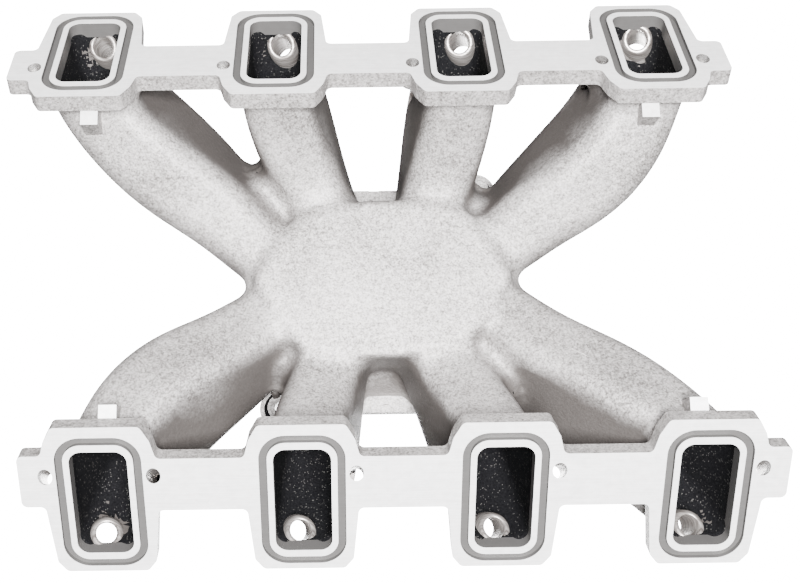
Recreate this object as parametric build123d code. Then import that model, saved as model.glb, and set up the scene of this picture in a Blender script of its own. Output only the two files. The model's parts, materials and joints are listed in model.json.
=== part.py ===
"""Single-plane V8 intake manifold, a bare machined casting with eight rectangular ports.

Frame: the origin is the centre of the carburettor pad's machined top, +Z up, +X to the
front of the engine and +Y to the left bank. The right bank is the left bank turned half
a turn about Z, which also gives the stagger between the banks.
"""

from build123d import *
from math import cos, radians, sin
import os

# ---- driving dimensions, millimetres and degrees ----
BORE_SPACING = 111.76        # from one cylinder to the next along a bank
BANK_SHIFT = 7.6             # left bank forward of centre, right bank the same to the rear
PORT_Y = 134.1               # port centre from the centre plane, on the flange face
PORT_DROP = 113.0            # port centre below the carburettor pad
FACE_TILT = 35.0             # port face normal, measured from straight down

PORT_W, PORT_H, PORT_R = 32.0, 65.4, 7.0
LAND_X, LAND_Y = 3.3, 4.2    # land between the port and the seal groove
GROOVE_W, GROOVE_DEPTH = 4.6, 3.0
FLANGE_T = 10.0
BAR_LOW, BAR_HIGH = -5.0, 28.0          # flange bar, measured across the face from port centre
EAR_LOW, EAR_HIGH, EAR_U = -2.0, 30.5, 44.5
BOLT_U, BOLT_V = 29.8, 17.3             # bolt hole from its port centre
BOLT_R = 4.0
BOLT_BOSS_R, BOLT_BOSS_TOP = 9.0, 14.5  # boss top above the port centre

PLENUM_FLOOR_Z = -80.0       # underside of the plenum floor
PLENUM_FLOOR_T = 6.0
CAGE_TOP = -20.0             # top of the plenum's side walls
MOUTH_H, MOUTH_Z = 58.0, -48.0          # runner height outside and its centre, at the plenum
CAGE_T = 5.0                 # wall of the plenum between the runner mouths
CROWN_LEDGE = 7.0            # crown's inner edge in from the plenum's outside
WALL = 4.2                   # runner wall
PORT_PULL = 0.8              # how far a runner holds the port's direction
LEVELLED = 0.55              # share of a runner's roll taken out on the way to the plenum
STATIONS = 8                 # sections along a runner, after the first

PAD_T = 13.0                 # carburettor pad
PAD_HALF_X, PAD_HALF_Y = 71.0, 74.5
PAD_LOBE_R = 13.5
CARB_X, CARB_Y = 130.97, 142.88         # four-barrel stud pattern
CARB_TAP_R = 3.3
PAD_BOSS_R, PAD_BOSS_T = 8.0, 9.0
PAD_MARK_AT, PAD_MARK_R = (2.5, 72.8), 3.7   # round marks on the pad's underside
THROAT_X, THROAT_Y, THROAT_R = 96.0, 100.0, 24.0
CROWN_X, CROWN_Y, CROWN_R = 126.0, 125.2, 30.0

INJECTOR_U, INJECTOR_V = -3.5, -33.0    # where the bore leaves the runner roof
INJECTOR_DEPTH = 20.0                   # behind the flange face, at that point
INJECTOR_LEAN = 12.0
INJECTOR_R, INJECTOR_SEAT_R = 6.0, 7.2
INJECTOR_BOSS_R, INJECTOR_BOSS_UP, INJECTOR_BOSS_DOWN = 11.0, 20.0, 8.0
SEAT_DEPTH = 11.0

LUG_AT = (143, 117, -74)     # bracket lug on the inner side of the front left runner, its underside
LUG_L, LUG_W, LUG_H, LUG_R, LUG_TAP_R = 28.0, 18.0, 26.0, 4.0, 2.6
DATUM_SIZE = 10.0
DATUM_IN, DATUM_Y = 5.0, 86.3           # toward the middle from the port centre, off the centre plane
DATUM_TOP = -130.5           # height of the datum pads' machined tops
DATUM_REACH = 45.0           # pads start inside the runner, this far up

TAG_AT = (104.0, 40.6)       # centre of the tag on the runner's underside
TAG_ALONG = (0.859, 0.513)
TAG_L, TAG_W, TAG_T, TAG_REACH = 36.0, 7.4, 0.9, 12.0
BELOW_ALL = -200.0

# corners of the plenum seen from above, left half; the other half is turned about Z
PLENUM_HALF = [(-79, 0), (-52, 42), (-8, 49), (10, 49), (53, 38)]

# one entry for each left-bank runner, rear to front: cylinder, plenum side, waypoints of the
# centre line, direction at the plenum, width outside at the bend and at the plenum, and how
# much wider the roof is on the side toward the middle of the engine
RUNNERS = [
    (7, 0, [(-140, 80, -77), (-97, 45, -57)], (-0.80, 0.60), 47, 43, 13),
    (5, 1, [], (-0.34, 0.94), 42, 42, 8),
    (3, 3, [], (0.52, 0.85), 42, 42, -8),
    (1, 4, [(143, 83.5, -75), (97, 46, -56)], (0.80, 0.60), 47, 42, -13),
]
TURNED = {7: 2, 5: 4, 3: 6, 1: 8}       # the right-bank cylinder opposite each one

FACE_NORMAL = Vector(0, sin(radians(FACE_TILT)), -cos(radians(FACE_TILT)))
INWARD = -FACE_NORMAL
BANK = Plane(origin=(BANK_SHIFT, PORT_Y, -PORT_DROP), x_dir=(1, 0, 0), z_dir=FACE_NORMAL)
PORT_US = [(i - 1.5) * BORE_SPACING for i in range(4)]
BOLT_US = [PORT_US[0] - BOLT_U] + [u + BOLT_U for u in PORT_US]

parts = {}


def half_turn(shape):
    """The same shape on the other bank."""
    return Rot(0, 0, 180) * shape


def on_face(u, v, depth=0.0):
    """A point on the left port face, or behind it."""
    return BANK.from_local_coords((u, v, -depth))


# ---- port flange ----

def rounded(outline, radius):
    """The outline with its outer and inner corners rounded."""
    opened = offset(offset(outline, -radius), 2 * radius)
    return offset(opened, -radius)


def pad_outline():
    """One port's machined pad, a little narrower at its outer end."""
    right = [(23, -45), (28, -38.5), (31, -6), (31.3, 30), (29, 39), (24, 48)]
    left = [(-u, v) for u, v in reversed(right)]
    return make_face(Polyline(*right, *left, close=True))


def flange_outline():
    """Four pads, the bar between them and an ear at each end."""
    start, end = PORT_US[0] - EAR_U, PORT_US[3] + EAR_U
    bar = Pos(0, (BAR_LOW + BAR_HIGH) / 2) * Rectangle(PORT_US[3] - PORT_US[0], BAR_HIGH - BAR_LOW)
    ears = Pos(0, (EAR_LOW + EAR_HIGH) / 2) * Rectangle(end - start, EAR_HIGH - EAR_LOW)
    gap = Rectangle(PORT_US[3] - PORT_US[0], 4 * EAR_HIGH)
    outline = Sketch() + bar + (ears - gap) + [Pos(u, 0) * pad_outline() for u in PORT_US]
    return rounded(outline, 3.5)


def bolt_drill(u):
    return Pos(*on_face(u, BOLT_V)) * Cylinder(BOLT_R, 80)


def port_flange():
    flange = extrude(BANK * flange_outline(), -FLANGE_T)
    for u in PORT_US:
        land = RectangleRounded(PORT_W + 2 * LAND_X, PORT_H + 2 * LAND_Y, PORT_R + LAND_X)
        groove = RectangleRounded(PORT_W + 2 * (LAND_X + GROOVE_W), PORT_H + 2 * (LAND_Y + GROOVE_W),
                                  PORT_R + LAND_X + GROOVE_W)
        flange -= extrude(BANK * Pos(u, 0) * (groove - land), -GROOVE_DEPTH)
        flange -= extrude(BANK * Pos(u, 0) * RectangleRounded(PORT_W, PORT_H, PORT_R), -FLANGE_T)
    for u in BOLT_US:
        flange -= bolt_drill(u)
    return flange


def in_front():
    """All that lies in front of the flange's back, to trim what grows from it."""
    return BANK * Pos(0, 0, 100 - FLANGE_T) * Box(600, 300, 200)


def bolt_bosses(outsides):
    bosses = []
    for u in BOLT_US:
        x, y, z = on_face(u, BOLT_V)
        top = -PORT_DROP + BOLT_BOSS_TOP
        boss = Pos(x, y, (z + top) / 2) * Cylinder(BOLT_BOSS_R, top - z)
        bosses.append(one_solid(boss - in_front() - bolt_drill(u) - outsides))
    return bosses


# ---- plenum ----

def plenum_corners(inset=0.0):
    ring = PLENUM_HALF + [(-x, -y) for x, y in PLENUM_HALF]
    outline = make_face(Polyline(*ring, close=True))
    return offset(outline, -inset, kind=Kind.INTERSECTION) if inset else outline


def plenum_side(index):
    """Plane of one side of the plenum, looking in, at the runners' centre height."""
    ring = PLENUM_HALF + [(-x, -y) for x, y in PLENUM_HALF]
    (x0, y0), (x1, y1) = ring[index], ring[index + 1]
    centre = Vector((x0 + x1) / 2, (y0 + y1) / 2, MOUTH_Z)
    along = Vector(x1 - x0, y1 - y0, 0).normalized()
    return Plane(origin=centre, x_dir=along, z_dir=Vector(along.Y, -along.X, 0))


def plenum_floor(outsides):
    floor = extrude(Pos(0, 0, PLENUM_FLOOR_Z) * plenum_corners(), PLENUM_FLOOR_T)
    return floor - [cut for side in outsides for cut in (side, half_turn(side))]


def plenum_cage(mouths, outsides):
    base = PLENUM_FLOOR_Z + PLENUM_FLOOR_T
    cage = extrude(Pos(0, 0, base) * (plenum_corners() - plenum_corners(CAGE_T)), CAGE_TOP - base)
    for cut in mouths + outsides:
        cage = cage - cut - half_turn(cut)
    return cage


def plenum_crown(outsides):
    """From the cage's top out to the carburettor pad's underside."""
    low, high = CAGE_TOP, -PAD_T
    outer = loft([Pos(0, 0, low) * plenum_corners(),
                  Pos(0, 0, high) * RectangleRounded(CROWN_X, CROWN_Y, CROWN_R)], ruled=True)
    inner = loft([Pos(0, 0, low) * plenum_corners(CROWN_LEDGE),
                  Pos(0, 0, high) * RectangleRounded(THROAT_X, THROAT_Y, THROAT_R)], ruled=True)
    return outer - inner - [cut for side in outsides for cut in (side, half_turn(side))]


def carb_flange():
    studs = [(sx * CARB_X / 2, sy * CARB_Y / 2) for sx in (-1, 1) for sy in (-1, 1)]
    outline = Rectangle(2 * PAD_HALF_X, 2 * PAD_HALF_Y)
    outline += [Pos(x, y) * Circle(PAD_LOBE_R) for x, y in studs]
    flange = extrude(Pos(0, 0, -PAD_T) * outline, PAD_T)
    flange -= Pos(0, 0, -PAD_T) * extrude(RectangleRounded(THROAT_X, THROAT_Y, THROAT_R), PAD_T)
    for x, y in studs:
        flange += Pos(x, y, -PAD_T - PAD_BOSS_T / 2) * Cylinder(PAD_BOSS_R, PAD_BOSS_T)
        flange -= Pos(x, y) * Cylinder(CARB_TAP_R, 3 * (PAD_T + PAD_BOSS_T))
    for sign in (-1, 1):
        flange -= Pos(sign * PAD_MARK_AT[0], sign * PAD_MARK_AT[1], -PAD_T) * Cylinder(PAD_MARK_R, 2)
    return flange


# ---- runners ----

def smooth(t):
    return t * t * (3 - 2 * t)


def across(along, t):
    """A runner's width axis: carried from the port without twist, then partly levelled."""
    lean = INWARD + along
    carried = Vector(1, 0, 0) - lean * (along.X / (1 + INWARD.dot(along)))
    level = Vector(-along.Y, along.X, 0).normalized()
    share = LEVELLED * smooth(t)
    return carried * (1 - share) + level * share


def runner_planes(port_u, side, waypoints, mouth_dir):
    """Planes of the sections from the flange's back to the plenum's side."""
    wall, start = plenum_side(side), on_face(port_u, 0, FLANGE_T)
    arrive = Vector(-mouth_dir[0], -mouth_dir[1], 0)
    path = Spline(start, *[Vector(*point) for point in waypoints], wall.origin,
                  tangents=(INWARD, arrive), tangent_scalars=(PORT_PULL, 1))
    planes = [Plane(origin=start, x_dir=(1, 0, 0), z_dir=INWARD)]
    for k in range(1, STATIONS):
        t = k / STATIONS
        planes.append(Plane(origin=path @ t, x_dir=across(path % t, t), z_dir=path % t))
    width = across(arrive, 1)
    in_wall = width - wall.z_dir * width.dot(wall.z_dir)
    return planes + [Plane(origin=wall.origin, x_dir=in_wall, z_dir=wall.z_dir)]


def section(width, height, corner, flare):
    """Rounded rectangle whose top is wider on one side, on the right for a positive flare."""
    left, right = -width / 2, width / 2
    outline = make_face(Polyline((left, -height / 2), (right, -height / 2), (right + max(flare, 0), height / 2),
                                 (left + min(flare, 0), height / 2), close=True))
    return fillet(outline.vertices(), corner)


def runner_body(planes, bend_w, mouth_w, flare, thick):
    """Solid of a runner's outside, or of its passage when thick is the wall taken off."""
    sections = []
    for k, plane in enumerate(planes):
        t = k / STATIONS
        port_w, port_h = PORT_W + 2 * WALL, PORT_H + 2 * WALL
        width = port_w + (bend_w - port_w) * smooth(min(1, 2 * t))
        width += (mouth_w - bend_w) * smooth(max(0, 2 * t - 1))
        height = port_h + (MOUTH_H - port_h) * smooth(t)
        corner = PORT_R + WALL + 4 * smooth(t)
        sections.append(plane * section(width - 2 * thick, height - 2 * thick, corner - thick,
                                        4 * t * (1 - t) * flare))
    return loft(sections)


def injector_axis(port_u):
    """Plane on the injector bore where it leaves the runner roof, z along the bore."""
    lean = radians(INJECTOR_LEAN)
    point = on_face(port_u + INJECTOR_U, INJECTOR_V, INJECTOR_DEPTH)
    return Plane(origin=point, x_dir=(cos(lean), 0, sin(lean)), z_dir=(-sin(lean), 0, cos(lean)))


def left_bank():
    """The left bank's shapes by node, its runners' outsides and its passages' mouths."""
    shapes, outsides, mouths = {}, [], []
    for (cylinder, *route, bend_w, mouth_w, flare), u in zip(RUNNERS, PORT_US):
        planes = runner_planes(u, *route)
        outside = runner_body(planes, bend_w, mouth_w, flare, 0)
        axis = injector_axis(u)
        bore = axis * Pos(0, 0, 5) * Cylinder(INJECTOR_R, 50)
        boss = axis * Pos(0, 0, (INJECTOR_BOSS_UP - INJECTOR_BOSS_DOWN) / 2) \
            * Cylinder(INJECTOR_BOSS_R, INJECTOR_BOSS_UP + INJECTOR_BOSS_DOWN)
        seat = axis * Pos(0, 0, INJECTOR_BOSS_UP - SEAT_DEPTH / 2) * Cylinder(INJECTOR_SEAT_R, SEAT_DEPTH)
        shell = outside - runner_body(planes, bend_w, mouth_w, flare, WALL)
        shell = shell - (bore + seat)
        # only the rear runner swells past the flange's back
        shapes[f"runner_{cylinder}"] = shell - in_front() if cylinder == 7 else shell
        shapes[f"injector_boss_{cylinder}"] = boss - outside - in_front() - bore - seat
        mouth = section(mouth_w - 2 * WALL, MOUTH_H - 2 * WALL, PORT_R + 4, 0)
        mouths.append(extrude(planes[-1] * mouth, 3 * CAGE_T))
        outsides.append(outside)
        if cylinder in (1, 7):
            shapes[f"datum_pad_{cylinder}"] = datum_pad(cylinder, u, outside)
        if cylinder == 1:
            shapes["bracket_lug_1"] = bracket_lug(outside)
    return shapes, outsides, mouths


def datum_pad(cylinder, port_u, outside):
    """Square machined pad on the valley side of an end runner."""
    toward_middle = 1 if cylinder == 7 else -1
    x = BANK_SHIFT + port_u + toward_middle * DATUM_IN
    pad = Pos(x, DATUM_Y, DATUM_TOP + DATUM_REACH / 2) * Box(DATUM_SIZE, DATUM_SIZE, DATUM_REACH)
    return pad - outside - in_front()


def bracket_lug(outside):
    lug = extrude(Pos(*LUG_AT) * RectangleRounded(LUG_L, LUG_W, LUG_R), LUG_H)
    tapped = Pos(LUG_AT[0] - LUG_L / 4, LUG_AT[1], LUG_AT[2] + LUG_H) * Cylinder(LUG_TAP_R, LUG_H)
    return lug - tapped - outside


def underside(shape, spot):
    """Lowest point of a shape on the vertical line through a spot."""
    hits = shape.find_intersection_points(Axis((spot.X, spot.Y, BELOW_ALL), (0, 0, 1)))
    return min((point for point, normal in hits), key=lambda point: point.Z)


def casting_tag(outside):
    """Blank raised tag, a thin plate laid along the underside of the front left runner."""
    middle, along = Vector(*TAG_AT, 0), Vector(*TAG_ALONG, 0)
    aside = Vector(0, 0, 1).cross(along)
    back, front = [underside(outside, middle + along * step) for step in (-TAG_L / 3, TAG_L / 3)]
    low, high = [underside(outside, middle + aside * step) for step in (-TAG_W / 3, TAG_W / 3)]
    lay = Plane(origin=underside(outside, middle), x_dir=front - back, z_dir=(front - back).cross(low - high))
    lay = lay.offset(-TAG_REACH)
    return extrude(lay * RectangleRounded(TAG_L, TAG_W, 1.5), TAG_REACH + TAG_T) - outside


def one_solid(shape):
    """The largest solid of a trimmed shape, free of loose slivers."""
    return max(shape.solids(), key=lambda solid: solid.volume)


def both_banks(shapes):
    """The left bank's nodes and, half a turn round, the right bank's."""
    for name, shape in shapes.items():
        stem, cylinder = name.rsplit("_", 1)
        parts[name] = one_solid(shape)
        parts[f"{stem}_{TURNED[int(cylinder)]}"] = half_turn(one_solid(shape))


bank, outsides, mouths = left_bank()
both_banks(bank)
parts["port_flange_left"] = port_flange()
parts["port_flange_right"] = half_turn(port_flange())
parts["bolt_bosses_left"] = Compound(children=bolt_bosses(outsides))
parts["bolt_bosses_right"] = Compound(children=[half_turn(boss) for boss in bolt_bosses(outsides)])
parts["plenum_floor"] = one_solid(plenum_floor(outsides))
parts["plenum_cage"] = one_solid(plenum_cage(mouths, outsides))
parts["plenum_crown"] = one_solid(plenum_crown(outsides))
parts["carb_flange"] = carb_flange()
parts["casting_tag"] = one_solid(casting_tag(outsides[3]))

os.makedirs("parts", exist_ok=True)
for name, shape in parts.items():
    export_step(shape, f"parts/{name}.step")
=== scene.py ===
import json
import math

import bmesh
import bpy
from mathutils import Matrix, Vector
from mathutils.bvhtree import BVHTree

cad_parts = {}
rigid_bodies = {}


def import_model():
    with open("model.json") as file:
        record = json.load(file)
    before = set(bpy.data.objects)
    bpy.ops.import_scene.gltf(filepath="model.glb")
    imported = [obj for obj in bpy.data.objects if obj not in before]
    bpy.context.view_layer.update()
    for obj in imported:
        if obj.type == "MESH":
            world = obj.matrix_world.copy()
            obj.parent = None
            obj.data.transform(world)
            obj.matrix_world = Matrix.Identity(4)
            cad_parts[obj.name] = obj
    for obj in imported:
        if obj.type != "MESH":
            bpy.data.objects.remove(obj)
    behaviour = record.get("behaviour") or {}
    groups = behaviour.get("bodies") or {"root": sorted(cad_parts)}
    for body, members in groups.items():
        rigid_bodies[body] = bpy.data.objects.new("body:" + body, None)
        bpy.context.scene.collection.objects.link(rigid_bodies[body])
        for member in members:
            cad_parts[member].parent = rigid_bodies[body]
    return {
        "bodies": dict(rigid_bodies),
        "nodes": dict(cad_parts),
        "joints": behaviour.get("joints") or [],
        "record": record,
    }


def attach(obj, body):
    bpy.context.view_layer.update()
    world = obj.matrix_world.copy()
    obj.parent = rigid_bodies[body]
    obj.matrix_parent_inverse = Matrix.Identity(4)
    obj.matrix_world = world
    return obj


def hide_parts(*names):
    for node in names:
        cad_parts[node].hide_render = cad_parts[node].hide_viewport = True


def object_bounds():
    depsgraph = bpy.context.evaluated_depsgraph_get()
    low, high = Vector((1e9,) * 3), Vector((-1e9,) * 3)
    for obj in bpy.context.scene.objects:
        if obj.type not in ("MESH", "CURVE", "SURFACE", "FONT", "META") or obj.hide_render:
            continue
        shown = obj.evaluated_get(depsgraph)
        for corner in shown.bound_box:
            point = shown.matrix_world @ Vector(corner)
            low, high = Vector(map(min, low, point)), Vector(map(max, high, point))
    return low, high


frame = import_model()
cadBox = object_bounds()
nodes = frame["nodes"]
mm = 0.001
print("frame loaded:", len(nodes), "nodes")


# the camera looks up at the underside, as the manifold lies on its carburettor pad
view = {
    "eye": (-0.0269, 0.1609, -0.7949),
    "right": (0.99992, 0.0128, 0.0048),
    "ahead": (-0.0021, -0.2084, 0.9780),
    "lens": 54.54,
    "shift": 0.0797,
}


def placeCamera():
    ahead = Vector(view["ahead"]).normalized()
    up = Vector(view["right"]).cross(ahead).normalized()
    right = ahead.cross(up)
    turn = Matrix((right, up, -ahead)).transposed().to_4x4()
    data = bpy.data.cameras.new("camera")
    data.lens = view["lens"]
    data.sensor_width = 36
    data.shift_x = view["shift"]
    data.clip_end = 20
    camera = bpy.data.objects.new("camera", data)
    camera.matrix_world = Matrix.Translation(view["eye"]) @ turn
    bpy.context.scene.collection.objects.link(camera)
    bpy.context.scene.camera = camera


placeCamera()


# one broad soft box below the valley side, smaller ones round it for the shaded walls
lamps = [
    {"name": "under", "at": (0.05, 0.30, -1.35), "size": 0.4, "watts": 128},
    {"name": "underFar", "at": (-0.35, -0.9, -1.1), "size": 0.45, "watts": 8},
    {"name": "left", "at": (-1.4, 0.1, -0.5), "size": 0.5, "watts": 3},
    {"name": "right", "at": (1.4, -0.1, -0.5), "size": 0.5, "watts": 3},
    {"name": "top", "at": (0.1, -0.1, 1.8), "size": 0.9, "watts": 95},
]


def addLamps():
    for lamp in lamps:
        data = bpy.data.lights.new(lamp["name"], "AREA")
        data.shape = "SQUARE"
        data.size = lamp["size"]
        data.energy = lamp["watts"]
        place = bpy.data.objects.new(lamp["name"], data)
        place.location = lamp["at"]
        place.rotation_euler = (-Vector(lamp["at"])).to_track_quat("-Z", "Y").to_euler()
        bpy.context.scene.collection.objects.link(place)


class Wire:
    def __init__(self, tree, socket=None):
        self.tree = tree
        self.socket = socket

    def node(self, kind, settings={}, inputs={}, output=0):
        made = self.tree.nodes.new("ShaderNode" + kind)
        for name, value in settings.items():
            if name == "stops":
                ramp = made.color_ramp.elements
                while len(ramp) < len(value):
                    ramp.new(0.5)
                for element, (place, shade) in zip(ramp, value):
                    element.position = place
                    element.color = (shade, shade, shade, 1)
            else:
                setattr(made, name, value)
        for key, value in inputs.items():
            if isinstance(value, Wire):
                self.tree.links.new(value.socket, made.inputs[key])
            else:
                made.inputs[key].default_value = value
        return Wire(self.tree, made.outputs[output])

    def math(self, operation, first, second=0.0):
        return self.node("Math", {"operation": operation}, {0: first, 1: second})

    def __add__(self, other):
        return self.math("ADD", self, other)

    def __sub__(self, other):
        return self.math("SUBTRACT", self, other)

    def __rsub__(self, other):
        return self.math("SUBTRACT", other, self)

    def __mul__(self, other):
        return self.math("MULTIPLY", self, other)

    def __truediv__(self, other):
        return self.math("DIVIDE", self, other)

    def __gt__(self, other):
        return self.math("GREATER_THAN", self, other)

    def __lt__(self, other):
        return self.math("LESS_THAN", self, other)

    def __abs__(self):
        return self.math("ABSOLUTE", self)

    __radd__ = __add__
    __rmul__ = __mul__

    def either(self, other):
        return self.math("MAXIMUM", self, other)

    def noise(self, place, scale, detail=2.0, rough=0.5):
        return self.node("TexNoise", {}, {"Vector": place, "Scale": scale, "Detail": detail, "Roughness": rough})

    def ramp(self, *stops):
        return self.node("ValToRGB", {"stops": stops}, {"Fac": self})

    def colours(self, low, high):
        return self.node("Mix", {"data_type": "RGBA"}, {0: self, 6: low, 7: high}, output=2)


def startMaterial(name):
    material = bpy.data.materials.new(name)
    material.use_nodes = True
    tree = material.node_tree
    shader = tree.nodes["Principled BSDF"]
    start = Wire(tree)
    place = start.node("TexCoord", output=3)
    return material, shader, start, place


def plug(shader, **links):
    for name, wire in links.items():
        shader.id_data.links.new(wire.socket, shader.inputs[name.replace("_", " ")])


def rgb(r, g, b):
    return (r, g, b, 1.0)


# sand-cast skin: sparkling grains under a millimetre on a warm grey, with soft clouds of tone
castFinish = {
    "light": rgb(0.46, 0.438, 0.43),
    "dark": rgb(0.10, 0.092, 0.087),
    "grainPerMetre": 760,
    "pitPerMetre": 340,
    "cloudPerMetre": 24,
    "metallic": 0.35,
    "bumpDepth": 0.55 * mm,
    # painted shade: the darker colour that closed-in spots of the skin are painted towards
    "paintedShade": rgb(0.065, 0.057, 0.053),
}


def castNodes(start, place, shader, look):
    grain = start.noise(place, look["grainPerMetre"], 3.0, 0.75)
    pits = start.noise(place, look["pitPerMetre"], 3.0, 0.6)
    cloud = start.noise(place, look["cloudPerMetre"], 4.0, 0.6)
    tone = grain * 0.66 + pits * 0.30 + cloud * 0.22
    colour = tone.ramp((0.46, 0.0), (0.70, 1.0)).colours(look["dark"], look["light"])
    # painted shade: the skin is darkened where its neighbours close it in
    shelter = start.node("Attribute", {"attribute_name": "shelter"}, output=2)
    colour = shelter.ramp((0.17, 0.0), (0.52, 0.95)).colours(colour, look["paintedShade"])
    rough = 0.46 + grain * 0.18
    height = grain * 0.6 + pits * 0.8
    bump = start.node("Bump", {}, {"Strength": 0.7, "Distance": look["bumpDepth"], "Height": height})
    return colour, rough, bump


def castMaterial(name="sandCast", look=castFinish):
    material, shader, start, place = startMaterial(name)
    colour, rough, bump = castNodes(start, place, shader, look)
    shader.inputs["Metallic"].default_value = look["metallic"]
    plug(shader, Base_Color=colour, Roughness=rough, Normal=bump)
    return material


# the passages are painted near-black as painted shade for the light that does not reach inside, with painted glints as
# scattered bright specks
passageShadeLook = {
    "light": rgb(0.009, 0.009, 0.010),
    "dark": rgb(0.002, 0.002, 0.0025),
    "glint": rgb(0.06, 0.058, 0.055),
    "grainPerMetre": 900,
    "glintPerMetre": 1900,
}


def passageMaterial():
    look = passageShadeLook
    material, shader, start, place = startMaterial("passageShade")
    grain = start.noise(place, look["grainPerMetre"], 4.0, 0.75)
    shadePaint = grain.ramp((0.38, 0.0), (0.72, 1.0)).colours(look["dark"], look["light"])
    cells = start.node("TexVoronoi", {}, {"Vector": place, "Scale": look["glintPerMetre"]}, output=1)
    chance = start.node("SeparateColor", {}, {0: cells})
    # painted glints: bright specks scattered over the painted shade
    colour = (chance > 0.975).colours(shadePaint, look["glint"])
    bump = start.node("Bump", {}, {"Strength": 0.8, "Distance": 0.4 * mm, "Height": grain})
    shader.inputs["Metallic"].default_value = 0.0
    shader.inputs["Roughness"].default_value = 0.8
    shader.inputs["Specular IOR Level"].default_value = 0.06
    plug(shader, Base_Color=colour, Normal=bump)
    return material


# port flanges: face, port walls and grooves are milled, the edges are left as cast; milled surfaces sunk below the face
# carry painted shade
flange = {
    "spacing": 111.76 * mm,
    "shift": 7.6 * mm,
    "portY": 134.1 * mm,
    "drop": 113.0 * mm,
    "tilt": math.radians(35),
    "thick": 10.0 * mm,
    "milledU": 24.5 * mm,
    "milledV": 41.9 * mm,
    # painted shade for the grooves and port walls below the face
    "groovePaintedShade": rgb(0.045, 0.042, 0.040),
    "grooveFrom": 0.25 * mm,
}

milledFinish = {
    "light": rgb(0.95, 0.935, 0.935),
    "dark": rgb(0.80, 0.785, 0.785),
    "metallic": 0.3,
    "rough": 0.36,
}


def milledNodes(start, place, stretch):
    streaks = start.node("Mapping", {}, {"Vector": place, "Scale": stretch})
    lines = start.noise(streaks, 1.0, 2.0)
    mottle = start.noise(place, 210, 3.0, 0.65)
    tone = lines * 0.45 + mottle * 0.55
    colour = tone.ramp((0.36, 0.0), (0.62, 1.0)).colours(milledFinish["dark"], milledFinish["light"])
    rough = milledFinish["rough"] + lines * 0.12
    bump = start.node("Bump", {}, {"Strength": 0.25, "Distance": 0.03 * mm, "Height": lines + mottle * 0.5})
    return colour, rough, bump


def mixedMaterial(name, mask, start, place, shader, stretch, shade=None):
    cast, castRough, castBump = castNodes(start, place, shader, castFinish)
    milled, milledRough, milledBump = milledNodes(start, place, stretch)
    # painted shade: the milled colour is darkened where the mask marks surfaces sunk below the face
    if shade:
        milled = (shade * 0.94).colours(milled, flange["groovePaintedShade"])
    colour = mask.colours(cast, milled)
    rough = castRough * (1 - mask) + milledRough * mask
    normal = start.node("Mix", {"data_type": "VECTOR"}, {0: mask, 4: castBump, 5: milledBump}, output=1)
    shader.inputs["Metallic"].default_value = milledFinish["metallic"]
    plug(shader, Base_Color=colour, Roughness=rough, Normal=normal)


def flangeMaterial():
    material, shader, start, place = startMaterial("milledFlange")
    axes = {"x": 0, "y": 1, "z": 2}
    at = {k: start.node("SeparateXYZ", {}, {0: place}, output=i) for k, i in axes.items()}
    facing = start.node("NewGeometry", output=3)
    out = {k: start.node("SeparateXYZ", {}, {0: facing}, output=i) for k, i in axes.items()}
    lean, drop = math.sin(flange["tilt"]), math.cos(flange["tilt"])
    onFace = (abs(out["y"]) * lean - out["z"] * drop) > 0.985
    bank = start.math("SIGN", at["y"])
    along = at["x"] - bank * flange["shift"] + flange["spacing"]
    u = abs(start.math("FLOORED_MODULO", along, flange["spacing"]) - flange["spacing"] / 2)
    v = abs((flange["portY"] - abs(at["y"])) * drop + (-flange["drop"] - at["z"]) * lean)
    inPort = (u < flange["milledU"]) * (v < flange["milledV"])
    height = (abs(at["y"]) - flange["portY"]) * lean + (-flange["drop"] - at["z"]) * drop
    # painted shade mask: milled surfaces sunk below the face inside the port
    sunk = (height < -flange["grooveFrom"]) * inPort
    mixedMaterial("milledFlange", onFace.either(inPort), start, place, shader, (45, 1300, 1300), sunk)
    return material


def padMaterial():
    material, shader, start, place = startMaterial("milledPad")
    facing = start.node("NewGeometry", output=3)
    up = start.node("SeparateXYZ", {}, {0: facing}, output=2)
    mixedMaterial("milledPad", up > 0.985, start, place, shader, (1300, 45, 1300))
    return material


def datumMaterial():
    material, shader, start, place = startMaterial("datumPad")
    facing = start.node("NewGeometry", output=3)
    up = start.node("SeparateXYZ", {}, {0: facing}, output=2)
    mixedMaterial("datumPad", up < -0.97, start, place, shader, (300, 300, 300))
    return material


def milledMaterial():
    material, shader, start, place = startMaterial("milled")
    colour, rough, bump = milledNodes(start, place, (900, 900, 900))
    shader.inputs["Metallic"].default_value = milledFinish["metallic"]
    plug(shader, Base_Color=colour, Roughness=rough, Normal=bump)
    return material


boreFinish = {"light": rgb(0.46, 0.43, 0.41), "dark": rgb(0.16, 0.14, 0.13), "ringsPerMetre": 1400}


def boreMaterial():
    look = boreFinish
    material, shader, start, place = startMaterial("drilled")
    rings = start.node("Mapping", {}, {"Vector": place, "Scale": (90, 90, look["ringsPerMetre"])})
    lines = start.noise(rings, 1.0, 3.0)
    colour = lines.ramp((0.35, 0.0), (0.65, 1.0)).colours(look["dark"], look["light"])
    bump = start.node("Bump", {}, {"Strength": 0.4, "Distance": 0.08 * mm, "Height": lines})
    shader.inputs["Metallic"].default_value = 0.7
    shader.inputs["Roughness"].default_value = 0.38
    plug(shader, Base_Color=colour, Normal=bump)
    return material


finishes = {
    "cast": castMaterial(),
    "passage": passageMaterial(),
    "flange": flangeMaterial(),
    "pad": padMaterial(),
    "milled": milledMaterial(),
    "drilled": boreMaterial(),
    "datum": datumMaterial(),
}
print("materials made")


def paint(obj, *names):
    obj.data.materials.clear()
    for name in names:
        obj.data.materials.append(finishes[name])


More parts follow.
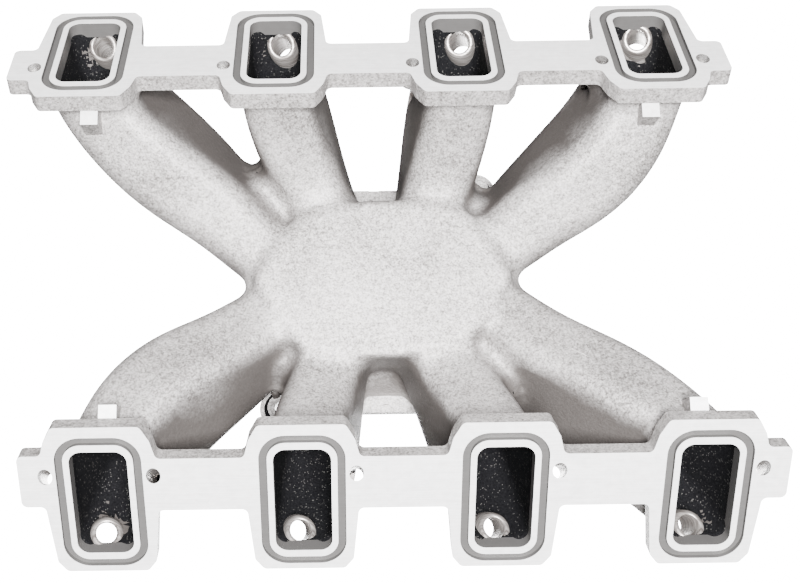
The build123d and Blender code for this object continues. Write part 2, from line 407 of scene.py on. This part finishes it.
def newPiece(name, mesh, *materials):
    data = bpy.data.meshes.new(name)
    mesh.to_mesh(data)
    mesh.free()
    obj = bpy.data.objects.new(name, data)
    bpy.context.scene.collection.objects.link(obj)
    paint(obj, *materials)
    return obj


def applyModifiers(obj):
    graph = bpy.context.evaluated_depsgraph_get()
    data = bpy.data.meshes.new_from_object(obj.evaluated_get(graph))
    obj.modifiers.clear()
    obj.data = data


def onFace(side, u, v, depth=0.0):
    lean, drop = math.sin(flange["tilt"]), math.cos(flange["tilt"])
    y = flange["portY"] - v * drop - depth * lean
    z = -flange["drop"] - v * lean + depth * drop
    return Vector((side * (flange["shift"] + u), side * y, z))


portUs = [(i - 1.5) * flange["spacing"] for i in range(4)]
sides = {"left": 1, "right": -1}

for side in sides:
    paint(nodes["port_flange_" + side], "flange")
paint(nodes["carb_flange"], "pad")
paint(nodes["casting_tag"], "cast")
for name in nodes:
    if name.startswith("datum_pad_"):
        paint(nodes[name], "datum")


# one skin for all the cast regions: grown and shrunk again, so every inside corner is a fillet
skin = {
    "regions": ["runner_", "plenum_", "injector_boss_", "bolt_bosses_", "bracket_lug_"],
    "voxel": 2.0 * mm,
    "fillet": 5.0 * mm,
    "sunk": 0.8 * mm,
    "slabFrom": 4.5 * mm,
    "smoothing": 5,
    "kept": 0.5,
}


def regionNames():
    return sorted(n for n in nodes if n.startswith(tuple(skin["regions"])))


def mergedCopy(name):
    mesh = bmesh.new()
    mesh.from_mesh(nodes[name].data)
    bmesh.ops.remove_doubles(mesh, verts=mesh.verts, dist=0.002 * mm)
    return mesh


def sunkenSlab(name, point, outward):
    slab = mergedCopy(name)
    everything = slab.verts[:] + slab.edges[:] + slab.faces[:]
    cut = bmesh.ops.bisect_plane(slab, geom=everything, plane_co=point, plane_no=outward, clear_outer=True)
    rim = [e for e in cut["geom_cut"] if isinstance(e, bmesh.types.BMEdge)]
    bmesh.ops.triangle_fill(slab, use_beauty=True, use_dissolve=False, edges=rim)
    bmesh.ops.recalc_face_normals(slab, faces=slab.faces)
    slab.normal_update()
    for vert in slab.verts:
        vert.co -= vert.normal * skin["sunk"]
    return slab


def gather(meshes):
    whole = bmesh.new()
    for mesh in meshes:
        data = bpy.data.meshes.new("part")
        mesh.to_mesh(data)
        mesh.free()
        whole.from_mesh(data)
        bpy.data.meshes.remove(data)
    return whole


def castSkin():
    meshes = [mergedCopy(name) for name in regionNames()]
    for side, sign in sides.items():
        outward = Vector((0, sign * math.sin(flange["tilt"]), -math.cos(flange["tilt"])))
        meshes.append(sunkenSlab("port_flange_" + side, onFace(sign, 0, 0, skin["slabFrom"]), outward))
    meshes.append(sunkenSlab("carb_flange", Vector((0, 0, -skin["slabFrom"])), Vector((0, 0, 1))))
    body = newPiece("castBody", gather(meshes), "cast", "passage", "drilled")
    for grow in (skin["fillet"], -skin["fillet"], 0):
        remesh = body.modifiers.new("voxels", "REMESH")
        remesh.mode = "VOXEL"
        remesh.voxel_size = skin["voxel"]
        remesh.use_smooth_shade = True
        if grow:
            swell = body.modifiers.new("swell", "DISPLACE")
            swell.mid_level = 0
            swell.strength = grow
    relax = body.modifiers.new("relax", "SMOOTH")
    relax.factor = 0.5
    relax.iterations = skin["smoothing"]
    thin = body.modifiers.new("thin", "DECIMATE")
    thin.ratio = skin["kept"]
    applyModifiers(body)
    return body


# holes the skin has closed are drilled again; radii and depths along each axis, upward
drills = {
    "segments": 40,
    "bolt": [(4.0, -60, 60)],
    "lugTap": [(2.6, -8, 12)],
    "carbTap": [(3.3, -24, 6)],
    "injector": [(6.0, -26, 9.2), (7.2, 9.0, 34)],
    "injectorAt": (-3.5, -33.0, 20.0),
    "injectorLean": 12.0,
    "boltU": 29.8,
    "boltV": 17.3,
    "lugTapAt": (136.0, 117.0, -48.0),
    "carbAt": (65.485, 71.44),
}


def lathe(mesh, steps, matrix):
    for radius, low, high in steps:
        made = bmesh.ops.create_cone(mesh, cap_ends=True, segments=drills["segments"], radius1=radius * mm,
                                     radius2=radius * mm, depth=(high - low) * mm)
        bmesh.ops.translate(mesh, verts=made["verts"], vec=(0, 0, (high + low) / 2 * mm))
        bmesh.ops.transform(mesh, matrix=matrix, verts=made["verts"])


def injectorMatrix(side, port):
    u, v, depth = (value * mm for value in drills["injectorAt"])
    lean = math.radians(drills["injectorLean"])
    turn = Matrix.Rotation(-lean * side, 4, "Y")
    return Matrix.Translation(onFace(side, portUs[port] + u, v, depth)) @ turn


def drillPlaces():
    for side in sides.values():
        ends = [portUs[0] - drills["boltU"] * mm] + [u + drills["boltU"] * mm for u in portUs]
        for u in ends:
            yield "bolt", Matrix.Translation(onFace(side, u, drills["boltV"] * mm))
        for port in range(4):
            yield "injector", injectorMatrix(side, port)
        x, y, z = drills["lugTapAt"]
        yield "lugTap", Matrix.Translation((side * x * mm, side * y * mm, z * mm))
        for across in (-1, 1):
            yield "carbTap", Matrix.Translation((across * drills["carbAt"][0] * mm, side * drills["carbAt"][1] * mm, 0))


def drillSkin(body):
    mesh = bmesh.new()
    for kind, matrix in drillPlaces():
        lathe(mesh, drills[kind], matrix)
    cutter = newPiece("cutter", mesh, "drilled")
    cut = body.modifiers.new("drill", "BOOLEAN")
    cut.operation = "DIFFERENCE"
    cut.solver = "EXACT"
    cut.use_self = True
    cut.material_mode = "TRANSFER"
    cut.object = cutter
    applyModifiers(body)
    bpy.data.objects.remove(cutter)


# faces whose normal looks across a passage or the plenum get the passages' painted shade
inside = {"reach": 82 * mm, "start": 1.2 * mm, "plenumTop": -13.5 * mm, "plenumFloor": -77 * mm,
          "plenumMiddle": Vector((0, 0, -46 * mm)), "lipDepth": 18 * mm, "lipU": 17.4 * mm, "lipV": 34.2 * mm}


def trees(names):
    found = {}
    for name in names:
        mesh = mergedCopy(name)
        found[name] = BVHTree.FromBMesh(mesh)
        mesh.free()
    return found


def regionMap():
    meshes = [mergedCopy(name) for name in regionNames()]
    owners = [name for name, mesh in zip(regionNames(), meshes) for face in mesh.faces]
    whole = gather(meshes)
    tree = BVHTree.FromBMesh(whole)
    whole.free()
    return tree, owners


def looksInside(centre, normal, name, tree, whole):
    if name.startswith("plenum_"):
        level = inside["plenumFloor"] < centre.z < inside["plenumTop"]
        away = inside["plenumMiddle"] - centre
        start = centre + normal * inside["start"]
        return level and normal.dot(away) > 0 and whole.ray_cast(start, away.normalized(), away.length)[0] is None
    hit, facing, index, far = tree.ray_cast(centre + normal * inside["start"], normal, inside["reach"])
    return hit is not None and facing.dot(normal) < 0


def nearLip(centre, normal):
    side = 1 if centre.y > 0 else -1
    away = Vector((centre.x * side, centre.y * side, centre.z)) - onFace(1, 0, 0)
    lean, drop = math.sin(flange["tilt"]), math.cos(flange["tilt"])
    depth = away.z * drop - away.y * lean
    v = -away.y * drop - away.z * lean
    u = min((away.x - portU for portU in portUs), key=abs)
    looking = normal.x * side * u - (normal.y * side * drop + normal.z * lean) * v
    within = 0 < depth < inside["lipDepth"] and abs(u) < inside["lipU"] and abs(v) < inside["lipV"]
    return within and looking < 0


def shadePassages(body):
    hollow = trees(n for n in nodes if n.startswith(("runner_", "plenum_")))
    tree, owners = regionMap()
    names = [material.name for material in body.data.materials]
    shadePaint = names.index(finishes["passage"].name)
    drilled = names.index(finishes["drilled"].name)
    # faces just inside a port lip or looking into a passage get the painted shade
    for face in body.data.polygons:
        owner = owners[tree.find_nearest(face.center)[2]]
        if face.material_index != drilled and nearLip(face.center, face.normal):
            face.material_index = shadePaint
        elif face.material_index != drilled and owner in hollow:
            if looksInside(face.center, face.normal, owner, hollow[owner], tree):
                face.material_index = shadePaint


body = castSkin()
print("cast skin:", len(body.data.polygons), "faces")
drillSkin(body)
print("holes drilled:", len(body.data.polygons), "faces", [m.name for m in body.data.materials])
shadePassages(body)
print("passages washed")

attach(body, "root")
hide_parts(*regionNames())


def bodyTree():
    mesh = bmesh.new()
    mesh.from_mesh(body.data)
    tree = BVHTree.FromBMesh(mesh)
    mesh.free()
    return tree


# turned rim where each injector bore breaks into its passage: radius, height off the roof
# and how much of the roof's slope it follows
rim = {
    "profile": [(9.8, 1.0, 1.0), (8.9, -3.0, 0.4), (8.1, -3.7, 0.4), (6.7, -3.9, 0.4), (6.05, -3.2, 0.4),
                (5.95, 3.5, 0.4)],
    "probe": 9.4 * mm,
    "from": -34 * mm,
}


def roofPlane(tree, matrix):
    points = []
    upward = (matrix.to_3x3() @ Vector((0, 0, 1))).normalized()
    for turn in range(drills["segments"]):
        angle = math.tau * turn / drills["segments"]
        local = Vector((math.cos(angle) * rim["probe"], math.sin(angle) * rim["probe"], rim["from"]))
        hit = tree.ray_cast(matrix @ local, upward)[0]
        if hit is not None:
            points.append((angle, (matrix.inverted() @ hit).z))
    middle = sum(z for angle, z in points) / len(points)
    slopeX = 2 * sum(z * math.cos(angle) for angle, z in points) / len(points) / rim["probe"]
    slopeY = 2 * sum(z * math.sin(angle) for angle, z in points) / len(points) / rim["probe"]
    return middle, slopeX, slopeY


def injectorRims(tree):
    mesh = bmesh.new()
    for side in sides.values():
        for port in range(4):
            matrix = injectorMatrix(side, port)
            middle, slopeX, slopeY = roofPlane(tree, matrix)
            rings = []
            for radius, height, share in rim["profile"]:
                ring = []
                for turn in range(drills["segments"]):
                    angle = math.tau * turn / drills["segments"]
                    x, y = radius * mm * math.cos(angle), radius * mm * math.sin(angle)
                    z = middle + (slopeX * x + slopeY * y) * share + height * mm
                    ring.append(mesh.verts.new(matrix @ Vector((x, y, z))))
                rings.append(ring)
            for outer, inner in zip(rings, rings[1:]):
                for k in range(len(outer)):
                    after = (k + 1) % len(outer)
                    face = mesh.faces.new((outer[k], outer[after], inner[after], inner[k]))
                    face.smooth = True
    rims = newPiece("injectorRims", mesh, "drilled")
    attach(rims, "root")


# the tag's raised frame, with plain round pips where a foundry would set its marks
tag = {
    "at": (104.0 * mm, 40.6 * mm),
    "along": (0.859, 0.513),
    "long": 36.0 * mm,
    "wide": 7.4 * mm,
    "bar": 0.8 * mm,
    "rise": 0.75 * mm,
    "pips": 6,
    "pipGap": 5.0 * mm,
    "pipRadius": 1.15 * mm,
    "pipRise": 0.55 * mm,
    "sunk": 0.4 * mm,
}


def drape(verts, trees, rise):
    along = Vector((*tag["along"], 0)).normalized()
    across = Vector((-along.y, along.x, 0))
    for vert in verts:
        spot = Vector((*tag["at"], -0.3)) + along * vert.co.x + across * vert.co.y
        hits = [tree.ray_cast(spot, Vector((0, 0, 1)))[0] for tree in trees]
        surface = min(hit.z for hit in hits if hit is not None)
        vert.co = Vector((spot.x, spot.y, surface - (rise if vert.co.z > 0 else -tag["sunk"])))


def tagBar(mesh, x, y, long, wide, trees):
    made = bmesh.ops.create_cube(mesh, size=1.0)
    for vert in made["verts"]:
        vert.co = Vector((x + vert.co.x * long, y + vert.co.y * wide, vert.co.z))
    edges = list({edge for vert in made["verts"] for edge in vert.link_edges
                  if abs(edge.verts[0].co.x - edge.verts[1].co.x) > 2 * mm})
    made = bmesh.ops.subdivide_edges(mesh, edges=edges, cuts=12) if edges else {}
    verts = {vert for edge in edges if edge.is_valid for vert in edge.verts}
    verts |= {item for item in made.get("geom", []) if isinstance(item, bmesh.types.BMVert)}
    return verts


def tagFrame(trees):
    mesh = bmesh.new()
    long, wide, bar = tag["long"], tag["wide"], tag["bar"]
    for y in (-1, 1):
        tagBar(mesh, 0, y * (wide - bar) / 2, long, bar, trees)
    for x in (-1, 1):
        tagBar(mesh, x * (long - bar) / 2, 0, bar, wide, trees)
    frameVerts = set(mesh.verts)
    drape(frameVerts, trees, tag["rise"])
    for k in range(tag["pips"]):
        made = bmesh.ops.create_cone(mesh, cap_ends=True, segments=20, radius1=tag["pipRadius"],
                                     radius2=tag["pipRadius"] * 0.8, depth=1.0)
        bmesh.ops.translate(mesh, verts=made["verts"], vec=((k - (tag["pips"] - 1) / 2) * tag["pipGap"], 0, 0))
        drape(made["verts"], trees, tag["pipRise"])
    bmesh.ops.recalc_face_normals(mesh, faces=mesh.faces)
    frame = newPiece("tagFrame", mesh, "cast")
    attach(frame, "root")


surface = bodyTree()


# how far each spot of the skin is closed in by its neighbours: deep spots get painted shade, a darker skin colour
# standing in for the light they miss
shelter = {"directions": 30, "reach": 75 * mm, "start": 1.2 * mm, "grazing": 0.2, "blurs": 4}


def spiral(count):
    for i in range(count):
        z = 1 - (2 * i + 1) / count
        turn = i * math.pi * (3 - math.sqrt(5))
        yield Vector((math.cos(turn), math.sin(turn), 0)) * math.sqrt(1 - z * z) + Vector((0, 0, z))


def paintOcclusionShade(body, tree):
    rays = list(spiral(shelter["directions"]))
    values = []
    for vert in body.data.vertices:
        start = vert.co + vert.normal * shelter["start"]
        ahead = [(ray, ray.dot(vert.normal)) for ray in rays if ray.dot(vert.normal) > shelter["grazing"]]
        shut = sum(weight for ray, weight in ahead if tree.ray_cast(start, ray, shelter["reach"])[0])
        values.append(shut / max(sum(weight for ray, weight in ahead), 0.01))
    ends = [tuple(edge.vertices) for edge in body.data.edges]
    for blur in range(shelter["blurs"]):
        total, count = values[:], [1] * len(values)
        for a, b in ends:
            total[a] += values[b]
            total[b] += values[a]
            count[a] += 1
            count[b] += 1
        values = [t / c for t, c in zip(total, count)]
    body.data.attributes.new("shelter", "FLOAT", "POINT").data.foreach_set("value", values)


paintOcclusionShade(body, surface)
print("skin sheltered:", len(body.data.vertices), "vertices")
injectorRims(surface)
tagFrame([surface, *trees(["casting_tag"]).values()])
print("rims and tag added")


def stageFloor():
    mesh = bmesh.new()
    bmesh.ops.create_grid(mesh, x_segments=1, y_segments=1, size=3.0)
    bmesh.ops.translate(mesh, verts=mesh.verts, vec=(0, 0, cadBox[0].z - 0.2 * mm))
    material, shader, start, place = startMaterial("paleFloor")
    shader.inputs["Base Color"].default_value = rgb(0.82, 0.82, 0.81)
    shader.inputs["Roughness"].default_value = 0.8
    clear = start.node("BsdfTransparent")
    behind = start.node("NewGeometry", output=6)
    seen = start.node("MixShader", {}, {0: behind, 1: Wire(start.tree, shader.outputs[0]), 2: clear})
    start.tree.links.new(seen.socket, start.tree.nodes["Material Output"].inputs["Surface"])
    finishes["floor"] = material
    floor = newPiece("floor", mesh, "floor")
    floor.visible_shadow = False
    floor.visible_diffuse = False
    floor.visible_glossy = False


def paintWorld():
    world = bpy.data.worlds.new("studio")
    world.use_nodes = True
    background = world.node_tree.nodes["Background"]
    background.inputs["Color"].default_value = rgb(1, 1, 1)
    start = Wire(world.node_tree)
    seen = start.node("LightPath", output=0)
    world.node_tree.links.new((0.10 + seen * 20).socket, background.inputs["Strength"])
    bpy.context.scene.world = world


addLamps()
stageFloor()
paintWorld()
print("camera, lamps and floor placed")
